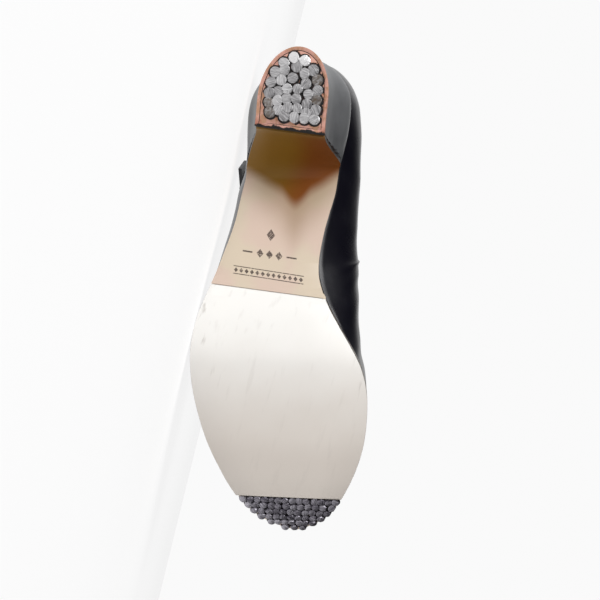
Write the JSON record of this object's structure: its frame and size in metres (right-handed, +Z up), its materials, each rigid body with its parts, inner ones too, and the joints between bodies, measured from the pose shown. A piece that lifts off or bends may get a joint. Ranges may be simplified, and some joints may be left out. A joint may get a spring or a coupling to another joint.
{
  "type": "flamenco shoe",
  "caption": "Left flamenco shoe lying on its outer side, with a nailed heel and toe and an instep strap.",
  "frame": {"origin": "centre of the bounding box at floor level, the shoe lying on its outer side", "axes": "+X towards the toe, +Y from the sole towards the collar, +Z up, towards the shoe's inner side"},
  "size_m": [0.233, 0.129, 0.0926],
  "materials": {
    "black_leather": "smooth glossy calf",
    "lining_leather": "matt",
    "natural_leather": "smooth, waxed",
    "pale_rubber": "satin",
    "lift_leather": "worn edge",
    "bright_nail_steel": "hammered and scratched",
    "dark_nail_steel": "dull, worn at the tip",
    "buckle_metal": "polished"
  },
  "bodies": {
    "root": {"upper": "black_leather", "insole": "lining_leather", "outsole": "natural_leather", "half_sole": "pale_rubber", "heel_block": "black_leather", "top_piece": "lift_leather", "heel_nails": "bright_nail_steel", "toe_nails": "dark_nail_steel", "instep_strap": "black_leather", "buckle_tab": "black_leather", "buckle_frame": "buckle_metal", "buckle_prong": "buckle_metal"}
  },
  "joints": []
}
